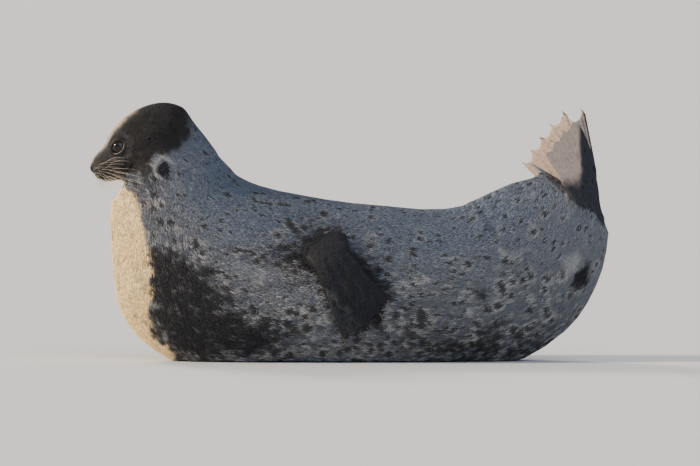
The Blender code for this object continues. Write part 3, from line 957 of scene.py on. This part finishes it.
def makeCoatMaterial():
    material, tree, shader = newMaterial("seal coat", {"Roughness": 0.66, "Specular IOR Level": 0.20})

    tones = coatColours
    place = tree.mark("place", out=1)
    bent = place.shifted(tree.noise(place, 55.0, 2.0, out=1).scaled(0.012))
    toneAndShadow, upper, ink = tree.mark("toneAndShadow"), tree.mark("upper"), tree.mark("ink")
    blot = tree.noise(place, 9.0, 3.0) - 0.5
    rough = tree.noise(place, 48.0, 3.0) - 0.5
    # darker patches and dark areas from the markings and the painted shade
    patchy = (toneAndShadow + blot * 0.5).between(0.0, 1.1)
    deep = (toneAndShadow + blot * 0.35 + rough * 0.75).between(0.74, 1.00)

    def spots(scale, smallest, spread, keep):
        # 1 outside the spots and 0 inside, and their pale rings; keep is the share of cells with one
        cell = {"Vector": bent, "Scale": scale, "Randomness": 0.95}
        gap = tree.add("ShaderNodeTexVoronoi", {"feature": "F1"}, cell, out=0)
        chance = tree.add("ShaderNodeTexVoronoi", {"feature": "F1"}, cell, out=1)
        dice = tree.add("ShaderNodeSeparateColor", {}, {0: chance}, out=0)
        radius = (dice * spread + smallest) * (patchy * 0.8 + 0.6)
        radius = radius * (1.0 - dice.between(keep, keep + 0.05))
        ring = (gap - radius - 0.16).between(0.10, -0.02) * radius.between(0.1, 0.25)
        return (gap - radius).between(-0.05, 0.07), ring

    large, largeRing = spots(27.0, 0.14, 0.42, 0.50)
    small, smallRing = spots(52.0, 0.14, 0.46, 0.74)
    fleck, _ = spots(105.0, 0.12, 0.40, 0.85)
    pale, _ = spots(64.0, 0.16, 0.30, 0.60)
    clear = large * small * (0.45 + fleck * 0.55)
    # the pale chest colour, warmed to paint low sunlight on it
    sunWarmedCream = (tree.noise(place, 11.0, 3.0) * 1.3 - 0.1).choose(tones["creamShade"], tones["sunWarmedCream"])
    bib = (tree.mark("pale") + rough * 0.55 - (1.0 - small) * 0.22).between(0.28, 0.66)
    headDark = (tree.noise(place, 24.0, 3.0) + rough - 0.30).choose(tones["headDark"], tones["headGrey"])
    warm = (tree.mark("warm") + rough * 1.1 + blot * 0.8).between(0.10, 1.10)
    sole = (tree.mark("sole") + rough * 0.5).between(0.2, 0.8)

    def painted(colour, *layers):
        # each layer is how much of a colour goes over the ones before it
        for share, over in layers:
            colour = share.choose(colour, over)
        return colour

    ground = painted(
        # upward faces take the darker back colour with its painted blue of sky light
        upper.choose(tones["light"], tones["backWithSkyBlue"]),
        (patchy * 0.85 + rough * 0.5, tones["middle"]),
        ((largeRing * 0.50 + smallRing * 0.30) * (1.0 - upper * 0.6), tones["ring"]),
        ((1.0 - pale) * 0.55 * (1.0 - upper * 0.75), tones["ring"]))
    colour = painted(
        (clear * 0.88 + 0.12).choose(tones["dark"], ground),
        (deep * (0.80 + pale * 0.15), tones["dark"]),
        (bib * (0.60 + fleck * 0.10 + clear * 0.30), sunWarmedCream),
        # the dark cap, partly painted shade on the face
        ((tree.mark("capAndShadow") + rough * 0.7).between(0.10, 0.85) * 0.96, headDark),
        (warm * (0.40 + fleck * small * 0.46), tones["headWarm"]),
        ((tree.mark("halo") + rough * 0.4).between(0.3, 0.9) * 0.60, tones["ring"]),
        ((tree.mark("spot") + rough * 0.7).between(0.35, 0.65), tones["dark"]),
        (tree.mark("limb") * (0.86 + 0.14 * (1.0 - small)), tones["flipper"]),
        # painted sunlight on the hind flippers' paler soles
        (sole * (0.72 + small * 0.20), tones["sole"]))
    # locks darker at their roots, a painted shade where they cover one another, and lighter or darker by
    # chance
    strands = 0.84 + tree.mark("strand") * 0.26 + tree.mark("tip") * 0.14
    colour = colour.scaled(strands * (tree.noise(place, 150.0, 2.0) * 0.4 + 0.8))
    plug(ink.choose(colour, tones["ink"]), shader, "Base Color")
    plug(0.68 - ink * 0.34, shader, "Roughness")
    streaks = tree.noise(place, 900.0, 1.0)
    bump = tree.add("ShaderNodeBump", {}, {"Strength": 0.25, "Distance": 0.0006, "Height": streaks})
    plug(bump, shader, "Normal")
    return material


coatMaterial = makeCoatMaterial()
skin.data.materials.append(coatMaterial)


# eyes, claws and whiskers

eyeSet = {
    "cornea": 0.0009,         # how far the cornea bulges
    # cosines of the angles from the axis to the edges of each part
    "corneaSpread": 0.62,
    "pupil": 0.925,
    "iris": 0.62,
    "pupilColour": (0.0015, 0.0015, 0.0015),
    "irisColour": (0.009, 0.005, 0.0035),
    "rimColour": (0.020, 0.015, 0.013),
    "segments": 56,
    "rings": 36,
}


def makeEye(side, name):
    centre, outward, _, _ = eyeAxes(side)
    bpy.ops.mesh.primitive_uv_sphere_add(segments=eyeSet["segments"], ring_count=eyeSet["rings"],
                                         radius=headSet["eyeRadius"])
    eye = bpy.context.active_object
    eye.name = eye.data.name = name
    points = pointsOf(eye.data)
    toOutward = np.array(Vector((0, 0, 1)).rotation_difference(Vector(outward)).to_matrix())
    points = points @ toOutward.T
    share = unit(points) @ outward
    bulge = smoothStep(eyeSet["corneaSpread"], 1.0, share) * eyeSet["cornea"]
    points += unit(points) * bulge[:, None]
    setPoints(eye.data, carried(headToWorld, points + centre))
    setAttribute(eye.data, "share", share)
    eye.data.shade_smooth()
    return eye


def makeEyeMaterial():
    material, tree, shader = newMaterial("seal eye", {"Roughness": 0.03, "Specular IOR Level": 0.42})
    share = tree.mark("share")
    iris = share.between(eyeSet["pupil"] + 0.012, eyeSet["pupil"] - 0.012)
    outer = share.between(eyeSet["iris"], eyeSet["iris"] - 0.06)
    colour = iris.choose(eyeSet["pupilColour"], eyeSet["irisColour"])
    plug(outer.choose(colour, eyeSet["rimColour"]), shader, "Base Color")
    return material


eyeMaterial = makeEyeMaterial()
eyes = {"eye_left": makeEye(-1, "seal_eye_left"), "eye_right": makeEye(1, "seal_eye_right")}
for eye in eyes.values():
    eye.data.materials.append(eyeMaterial)

clawSet = {
    "fore": {"length": 0.0235, "radius": 0.0029, "droop": 0.0042},
    "hind": {"length": 0.0150, "radius": 0.0020, "droop": 0.0012},
    "sides": 10,
    "flatten": 0.78,
    "proud": 0.0015,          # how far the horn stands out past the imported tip
    "colours": ((0.030, 0.026, 0.023), (0.110, 0.092, 0.076)),
}


def modelClaw(kind):
    # a tapering, drooping horn from a cone; its tip is at the origin and it grows along +Z
    numbers = clawSet[kind]
    bpy.ops.mesh.primitive_cone_add(vertices=clawSet["sides"], radius1=numbers["radius"],
                                    radius2=numbers["radius"] * 0.12, depth=numbers["length"],
                                    location=(0, 0, -numbers["length"] / 2))
    claw = bpy.context.active_object
    bpy.ops.object.transform_apply(location=True, rotation=True, scale=True)
    with editing(claw):
        bpy.ops.mesh.subdivide(number_cuts=4)
    points = pointsOf(claw.data)
    share = np.clip(1.0 + points[:, 2] / numbers["length"], 0.0, 1.0)
    points[:, 0] -= numbers["droop"] * (share**2 - 1.0)
    points[:, 1] *= clawSet["flatten"] + 0.08 * np.sin(share * math.pi)
    setPoints(claw.data, points)
    claw.data.shade_smooth()
    return claw


def makeClaws(name):
    kind = "fore" if "fore" in name else "hind"
    model = modelClaw(kind)
    copies = []
    tips, _, along, across = flipperPlan[name]
    face = np.cross(along, across)
    face = face * np.sign(face[2] if kind == "fore" else face[0] + 1e-9)
    for tip, direction in tips:
        copy = copyOf(model)
        zAxis = Vector(unit(direction * 0.55 + along * 0.45))
        xAxis = (Vector(face) - zAxis * Vector(face).dot(zAxis)).normalized()
        copy.matrix_world = Matrix((xAxis, zAxis.cross(xAxis), zAxis)).transposed().to_4x4()
        copy.location = Vector(tip) + zAxis * clawSet["proud"]
        copies.append(copy)
    bpy.data.objects.remove(model)
    pickOnly(*copies)
    bpy.ops.object.join()
    claws = bpy.context.active_object
    bpy.ops.object.transform_apply(location=True, rotation=True, scale=True)
    claws.name = claws.data.name = "claws_" + name
    return claws


def makeHornMaterial():
    material, tree, shader = newMaterial("dark horn", {"Roughness": 0.32})
    place = tree.add("ShaderNodeTexCoord", {}, {}, out=3)
    streaks = tree.noise(place, 240.0, 2.0)
    plug(streaks.choose(*clawSet["colours"]), shader, "Base Color")
    return material


hornMaterial = makeHornMaterial()
claws = {name: makeClaws(name) for name in flipperNodes}
for piece in claws.values():
    piece.data.materials.append(hornMaterial)
note("eyes and claws made")

whiskerSet = {
    "padCentre": (0.030, 0.008, -0.012),     # in the head's axes, for the animal's right side
    "rows": 5,
    "columns": 8,
    # degrees: at the first column or row, from each to the next, and by chance
    "turn": (22, 11.5, 2),
    "lift": (30, -15, 3),
    "stagger": 4,             # degrees between the columns of one row and the next
    "length": (0.028, 0.098),
    "radius": 0.00042,
    "colour": (0.62, 0.56, 0.46, 1.0),
    "rings": 15,
    "beads": 9,
    "browCentre": (0.074, 0.024, 0.030),
    "browLengths": (0.026, 0.038, 0.031, 0.042, 0.029),
    "sunk": 0.0012,           # how far a root is under the skin
}


def hair(root, first, last, length, radius):
    # points of one three-sided beaded hair that bends from its first direction to its last
    rings = whiskerSet["rings"]
    share = np.linspace(0.0, 1.0, rings)
    headings = unit(np.outer(1 - share, first) + np.outer(share, last))
    steps = np.concatenate((np.zeros((1, 3)), np.cumsum(headings[:-1], axis=0)))
    middle = root + steps * length / (rings - 1)
    beads = 1.0 + 0.16 * np.sin(share * whiskerSet["beads"] * 2 * math.pi)
    width = radius * (1.0 - 0.75 * share) * beads
    sideways = unit(np.cross(headings, (0.13, 0.21, 0.97)))
    upright = np.cross(headings, sideways)
    ring = [middle + width[:, None] * (math.cos(a) * sideways + math.sin(a) * upright)
            for a in (0.0, 2 * math.pi / 3, 4 * math.pi / 3)]
    points = np.stack(ring, axis=1).reshape(-1, 3)
    faces = [(0, 2, 1), (3 * rings - 3, 3 * rings - 2, 3 * rings - 1)]
    for k in range(rings - 1):
        for a in range(3):
            b = (a + 1) % 3
            faces.append((3 * k + a, 3 * k + b, 3 * k + 3 + b, 3 * k + 3 + a))
    return points, faces


def makeWhiskers(skin):
    tree = BVHTree.FromObject(skin, bpy.context.evaluated_depsgraph_get())
    verts, faces = [], []

    def grow(centre, outward, first, last, length, radius):
        # a hair where a line from the centre outwards leaves the skin
        start = headToWorld @ Vector(centre)
        heading = (headToWorld.to_3x3() @ Vector(outward)).normalized()
        spot = tree.ray_cast(start, heading)[0]
        if spot is None:
            return
        root = np.array(spot - heading * whiskerSet["sunk"])
        points, tubes = hair(root, unit(turned(headToWorld, np.array(first))),
                             unit(turned(headToWorld, np.array(last))), length, radius)
        base = sum(len(v) for v in verts)
        verts.append(points)
        faces.extend(tuple(base + k for k in face) for face in tubes)

    def degrees(name, number):
        first, step, chance = whiskerSet[name]
        return first + step * number + rng.uniform(-chance, chance)

    for side in (-1, 1):
        mirror = np.array((1, side, 1))
        for row in range(whiskerSet["rows"]):
            for column in range(whiskerSet["columns"]):
                turn = math.radians(degrees("turn", column) + whiskerSet["stagger"] * (row % 2))
                lift = math.radians(degrees("lift", row))
                outward = np.array((-math.cos(turn) * math.cos(lift), math.sin(turn) * math.cos(lift),
                                    math.sin(lift)))
                share = (column / (whiskerSet["columns"] - 1) + row / (whiskerSet["rows"] - 1)) / 2
                low, high = whiskerSet["length"]
                length = (low + (high - low) * share) * rng.uniform(0.85, 1.1)
                first = outward + np.array((0.35, 0.45, -0.15))
                last = np.array((0.85, 0.62, -0.50 - 0.25 * share)) + rng.uniform(-0.08, 0.08, 3)
                grow(whiskerSet["padCentre"] * mirror, outward * mirror, first * mirror, last * mirror,
                     length, whiskerSet["radius"] * (0.7 + 0.5 * share))
        for k, length in enumerate(whiskerSet["browLengths"]):
            outward = np.array((-0.34 + 0.14 * k, 0.22 + 0.10 * (k % 3), 0.90))
            last = np.array((0.75, 0.35 + 0.16 * k, 0.55 - 0.12 * k))
            first = outward + np.array((0.1, 0.1, 0.3))
            grow(whiskerSet["browCentre"] * mirror, outward * mirror, first * mirror, last * mirror,
                 length, whiskerSet["radius"] * 0.55)
    mesh = bpy.data.meshes.new("whiskers")
    mesh.from_pydata(np.concatenate(verts).tolist(), [], faces)
    mesh.shade_smooth()
    return placed("whiskers", mesh)


whiskers = makeWhiskers(skin)
whiskers.data.materials.append(
    newMaterial("pale hair", {"Base Color": whiskerSet["colour"], "Roughness": 0.38})[0])
note("whiskers grown")


# the coat: small flat locks over the skin

coatSet = {
    # length, width, thickness and spacing of the locks
    "body": (0.0135, 0.0026, 0.0008, 0.0036),
    "head": (0.0080, 0.0019, 0.0005, 0.0022),
    "face": (0.0046, 0.0013, 0.0003, 0.0015),
    "limb": (0.0085, 0.0018, 0.0005, 0.0029),
    "shorterOnFace": 0.55,    # share of the length lost at the nose
    "pieceLocks": 31000,      # locks in one piece of the body's coat at most
    "spread": 7.2,            # degrees either way of the lie, in two locks of three
    "lowest": 0.0006,         # clear of the floor
    "patch": 0.0015,          # half the size of a lock's place on the unwrap
    "quickSpacing": 2.2,
    "tries": 3.2,             # random places tried for each one kept
    "rootDepth": 0.0005,
    "widestAt": 0.4,          # share of the length from root to tip
    "tipLift": (0.35, 0.0002),        # share of the thickness, and clear of the skin
    "fanBehind": 0.12,        # on a flipper the locks fan out from this far behind its root
    "guideReach": 0.08,       # how far each direction below is felt
    # the lie of the coat from the side: x, z, and its direction
    "guides": ((-0.57, 0.45, 0.88, 0.47), (-0.52, 0.49, 0.88, 0.47), (-0.47, 0.55, 0.90, 0.20),
               (-0.43, 0.56, 0.80, -0.50), (-0.38, 0.53, 0.60, -0.80), (-0.50, 0.43, 0.55, -0.45),
               (-0.53, 0.38, 0.00, -1.00), (-0.54, 0.30, 0.05, -1.00), (-0.43, 0.42, 0.35, -0.90),
               (-0.36, 0.48, 0.60, -0.80), (-0.30, 0.44, 0.75, -0.60), (-0.52, 0.20, 0.15, -1.00),
               (-0.47, 0.10, 0.50, -0.85), (-0.40, 0.28, 0.40, -0.90), (-0.28, 0.38, 0.95, -0.20),
               (-0.30, 0.20, 0.90, -0.30), (-0.20, 0.05, 1.00, 0.00), (-0.10, 0.17, 1.00, 0.00),
               (-0.10, 0.36, 1.00, -0.05), (0.10, 0.16, 1.00, 0.00), (0.27, 0.17, 1.00, 0.10),
               (0.38, 0.12, 0.90, 0.35), (0.38, 0.30, 0.80, 0.45), (0.47, 0.20, 0.70, 0.70),
               (0.52, 0.30, 0.45, 0.90), (0.50, 0.38, 0.30, 1.00)),
}


def lieOfCoat(points, normals, limbs):
    # the direction of each lock: by the guides on the body, fanned out from the root on a flipper
    lie = np.zeros((len(points), 3))
    for x, z, dx, dz in coatSet["guides"]:
        near = hill(np.hypot(points[:, 0] - x, points[:, 2] - z), coatSet["guideReach"]) + 1e-9
        lie += np.outer(near, (dx, 0.0, dz))
    lie = unit(lie)
    for name, (_, root, along, _) in flipperPlan.items():
        within = insideBox(name, points, 0.006) & (limbs > 0.3)
        fan = unit(points - (root - along * coatSet["fanBehind"]))
        lie[within] = fan[within]
    lie -= normals * np.sum(lie * normals, axis=1, keepdims=True)
    sideways = np.cross(normals, lie)
    turn = np.radians(rng.normal(0, coatSet["spread"], len(points)))[:, None]
    return unit(lie * np.cos(turn) + sideways * np.sin(turn))


def trianglesOf(mesh):
    # the vertices and the loops of every triangle
    mesh.calc_loop_triangles()
    return [rowsOf(mesh.loop_triangles, name, 3, np.int32) for name in ("vertices", "loops")]


def rootsOn(points, corners, allowed, spacing):
    # evenly scattered places, one in a cell of a grid: triangle numbers and shares of their corners
    chosen = np.nonzero(allowed)[0]
    a, b, c = (points[corners[chosen, k]] for k in range(3))
    area = np.linalg.norm(np.cross(b - a, c - a), axis=1) / 2
    count = int(area.sum() / spacing**2 * coatSet["tries"])
    picks = np.searchsorted(np.cumsum(area), rng.uniform(0, area.sum(), count)).clip(0, len(chosen) - 1)
    u, v = rng.uniform(size=count), rng.uniform(size=count)
    over = u + v > 1
    u[over], v[over] = 1 - u[over], 1 - v[over]
    shares = np.stack((1 - u - v, u, v), axis=1)
    places = np.einsum("ij,ijk->ik", shares, points[corners[chosen[picks]]])
    cells = np.floor(places / spacing).astype(np.int64)
    most = 8192               # more cells than the body is long
    keys = (cells[:, 0] * most + cells[:, 1]) * most + cells[:, 2]
    _, kept = np.unique(keys, return_index=True)
    return chosen[picks[kept]], shares[kept]


def liftOnto(places, normals, heights):
    # moves each place onto the skin, and to its height over it where the skin faces the same way
    found = [skinTree.find_nearest(Vector(place)) for place in places]
    spots = np.array([spot for spot, _, _, _ in found])
    facing = np.array([normal for _, normal, _, _ in found])
    alike = np.sum(facing * normals, axis=1) > 0.35
    return spots + facing * (heights * alike)[:, None]


# a lock's five points are its root, its two sides, its ridge and its tip
lockFaces = np.array(((0, 3, 1), (0, 2, 3), (1, 3, 4), (3, 2, 4), (0, 1, 2), (1, 4, 2)))


def growLocks(kind, allowed, shorter):
    # locks of one kind on the allowed triangles: their points, marks and places on the unwrap
    length, width, thick, spacing = coatSet[kind]
    faces, shares = rootsOn(skinPoints, skinCorners, allowed, spacing)

    def atRoots(rows):
        return np.einsum("ij,ij...->i...", shares, rows[skinCorners[faces]])

    root = atRoots(skinPoints)
    normal = unit(atRoots(skinNormals))
    marks = {name: atRoots(rows) for name, rows in skinMarks.items()}
    lie = lieOfCoat(root, normal, marks["limb"])
    size = rng.uniform(0.75, 1.25, len(root)) * (1.0 - atRoots(shorter))
    long, wide, high = length * size, width * np.sqrt(size), thick * np.sqrt(size)
    sideways = np.cross(normal, lie)
    share, clear = coatSet["tipLift"]
    tip = liftOnto(root + lie * long[:, None], normal, share * high + clear)
    middle = liftOnto(root + lie * (long * coatSet["widestAt"])[:, None], normal, np.zeros(len(root)))
    out = sideways * (wide / 2)[:, None]
    up = normal * high[:, None]
    root = root - normal * coatSet["rootDepth"]
    points = np.stack((root, middle + out, middle - out, middle + up, tip), axis=1)
    points[:, :, 2] = np.maximum(points[:, :, 2], coatSet["lowest"])
    # no tips over the eyes or between the lips
    h = inHead(tip)
    onLips = (mouthGap(h)[0] < 0.0016) & (h[:, 0] < 0.086) & (np.abs(h[:, 1]) < 0.06)
    keep = ~(onLips & (marks["ink"] < 0.5))
    for side in (-1, 1):
        out, x, y = aroundEye(h, side)
        keep &= ~((np.hypot(x, y) < openingRadius(x, y) + 0.0012) & (out > 0))
    corner = np.einsum("ij,ijk->ik", shares, skinPlaces[skinLoops[faces]])
    return points[keep], {name: rows[keep] for name, rows in marks.items()}, corner[keep]


def joinLocks(name, parts):
    # one mesh of many locks
    points = np.concatenate([p for p, _, _ in parts])
    places = np.concatenate([c for _, _, c in parts])
    count = len(points)
    mesh = bpy.data.meshes.new(name)
    faces = (np.arange(count)[:, None, None] * 5 + lockFaces[None]).reshape(-1, 3)
    mesh.vertices.add(count * 5)
    mesh.vertices.foreach_set("co", points.astype(np.float32).ravel())
    mesh.loops.add(faces.size)
    mesh.loops.foreach_set("vertex_index", faces.astype(np.int32).ravel())
    mesh.polygons.add(len(faces))
    mesh.polygons.foreach_set("loop_start", np.arange(0, faces.size, 3, dtype=np.int32))
    mesh.update(calc_edges=True)
    for mark in parts[0][1]:
        rows = np.repeat(np.concatenate([m[mark] for _, m, _ in parts]), 5, axis=0)
        if mark == "strand":
            rows = np.repeat(rng.uniform(0, 1, count), 5)
        # painted shade at each lock's root: 0 at the root, rising to 1 at the tip
        if mark == "tip":
            rows = np.tile((0.0, 0.45, 0.45, 0.6, 1.0), count)
        setAttribute(mesh, mark, rows)
    uv = mesh.uv_layers.new(name="OFBake")
    half = coatSet["patch"]
    onLock = np.array(((-1, 0), (0, 1), (0, -1), (0.1, 0), (1, 0))) * half
    cornerPlaces = places[faces.ravel() // 5] + onLock[faces.ravel() % 5]
    uv.data.foreach_set("uv", np.clip(cornerPlaces, 0.0, 1.0).astype(np.float32).ravel())
    mesh.shade_smooth()
    mesh.materials.append(coatMaterial)
    note(f"{name}: {count} locks")
    return placed(name, mesh)


skinPoints, skinNormals = pointsOf(skin.data), normalsOf(skin.data)
skinCorners, skinLoops = trianglesOf(skin.data)
skinPlaces = rowsOf(skin.data.uv_layers["OFBake"].data, "uv", 2)
skinTree = BVHTree.FromPolygons(skinPoints.tolist(), skinCorners.tolist())


def growCoat():
    middle = skinPoints[skinCorners].mean(axis=1)
    facing = unit(skinNormals[skinCorners].mean(axis=1))
    h = inHead(middle)
    bare = skinMarks["ink"][skinCorners].max(axis=1) > 0.35
    under = (middle[:, 2] < 0.004) & (facing[:, 2] < -0.7)
    limb = skinMarks["limb"][skinCorners].mean(axis=1) > 0.5
    onHead = (headShare(middle) > 0.5) & ~limb
    face = onHead & (h[:, 0] < 0.085)
    body = ~(bare | under | limb | onHead)
    towardsNose = smoothStep(0.11, 0.03, inHead(skinPoints)[:, 0])
    shorter = coatSet["shorterOnFace"] * headShare(skinPoints) * towardsNose
    small = {
        "coat_head": (("head", onHead & ~face & ~bare), ("face", face & ~bare)),
        "coat_flippers": (("limb", limb & ~bare & ~under),),
    }
    pieces = []
    for name, parts in small.items():
        pieces.append(joinLocks(name, [growLocks(kind, allowed, shorter) for kind, allowed in parts]))
    locks, marks, places = growLocks("body", body, shorter)
    order = np.argsort(locks[:, 0, 0])
    slices = np.array_split(order, int(np.ceil(len(order) / coatSet["pieceLocks"])))
    for number, chosen in enumerate(slices, 1):
        part = locks[chosen], {name: rows[chosen] for name, rows in marks.items()}, places[chosen]
        pieces.append(joinLocks(f"coat_body_{number}", [part]))
    return pieces


coats = growCoat()


# frame, floor, lights and camera

for piece in [skin, whiskers, *coats, *claws.values(), *eyes.values()]:
    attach(piece, "root")
for name, piece in eyes.items():
    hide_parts(name)
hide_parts(*fleshNodes)

stageSet = {
    "floorSize": 500.0,
    "floorColour": (0.58, 0.59, 0.61, 1.0),
    "world": ((0.74, 0.80, 0.90, 1.0), 0.62),
    # where each light comes from, its colour, strength and softness
    "lights": {
        "key": ((-0.92, -0.14, 0.38), (1.0, 0.83, 0.60), 6.2, 0.12),
        "fill": ((0.25, -0.90, 0.60), (0.80, 0.88, 1.0), 1.1, 0.9),
        "rim": ((-0.45, 0.80, 0.50), (1.0, 0.92, 0.80), 2.4, 0.3),
    },
    "cameraFrom": (0.0, -38.0, 1.73),
    "cameraAt": (0.0, 0.0, 0.295),
    "lens": 845,
    "clip": (1.0, 1000.0),
}


def buildStage():
    bpy.ops.mesh.primitive_plane_add(size=stageSet["floorSize"])
    floor = bpy.context.active_object
    floor.name = floor.data.name = "studio_floor"
    floor.data.materials.append(
        newMaterial("pale floor", {"Base Color": stageSet["floorColour"], "Roughness": 0.9})[0])
    scene = bpy.context.scene
    scene.world = bpy.data.worlds.new("studio")
    scene.world.use_nodes = True
    background = scene.world.node_tree.nodes["Background"]
    background.inputs[0].default_value, background.inputs[1].default_value = stageSet["world"]
    for name, (fromPlace, colour, strength, softness) in stageSet["lights"].items():
        light = bpy.data.lights.new(name, "SUN")
        light.color, light.energy, light.angle = colour, strength, softness
        lamp = placed(name, light)
        lamp.rotation_euler = Vector(fromPlace).to_track_quat("Z", "Y").to_euler()
    camera = bpy.data.cameras.new("camera")
    camera.lens = stageSet["lens"]
    camera.clip_start, camera.clip_end = stageSet["clip"]
    viewer = placed("camera", camera)
    viewer.location = stageSet["cameraFrom"]
    aim = Vector(stageSet["cameraAt"]) - Vector(stageSet["cameraFrom"])
    viewer.rotation_euler = aim.to_track_quat("-Z", "Y").to_euler()
    scene.camera = viewer


buildStage()
note("stage set")
